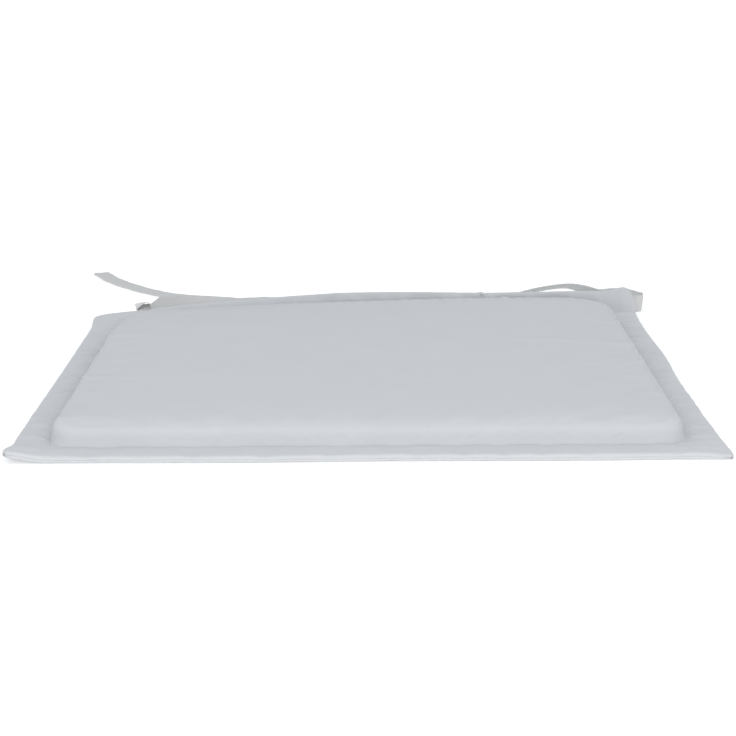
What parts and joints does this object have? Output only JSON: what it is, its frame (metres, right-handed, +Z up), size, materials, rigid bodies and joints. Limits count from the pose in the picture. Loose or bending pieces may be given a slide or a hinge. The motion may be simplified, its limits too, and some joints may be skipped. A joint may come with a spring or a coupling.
{
  "type": "chair seat pad",
  "caption": "Flat square foam seat pad with a stitched flange round it and fabric ties at the back edge.",
  "frame": {"origin": "centre of the pad's underside, on the seat that it lies on", "axes": "+Z up, +Y to the chair's back where the ties leave the seam, +X to the right seen from the front"},
  "size_m": [0.5107, 0.6699, 0.019],
  "materials": {
    "cover_fabric": "fine plain weave, light cool grey, matt",
    "tie_fabric": "fine plain weave strip, folded and edge stitched, light grey, matt",
    "thread": "spun polyester sewing thread",
    "foam": "open-cell polyurethane foam",
    "label_tape": "blank satin tape, unprinted"
  },
  "bodies": {
    "root": {"foam_core": "foam", "top_cover": "cover_fabric", "bottom_cover": "cover_fabric", "edge_seam_thread": "thread", "border_needle_thread": "thread", "border_bobbin_thread": "thread", "tie_left_fold": "tie_fabric", "tie_right_fold": "tie_fabric", "tie_left_tack": "thread", "tie_right_tack": "thread", "care_label": "label_tape", "tie_left_outer_tail": "tie_fabric", "tie_left_outer_stitch": "thread", "tie_left_inner_tail": "tie_fabric", "tie_left_inner_stitch": "thread", "tie_right_outer_tail": "tie_fabric", "tie_right_outer_stitch": "thread", "tie_right_inner_tail": "tie_fabric", "tie_right_inner_stitch": "thread"}
  },
  "joints": []
}
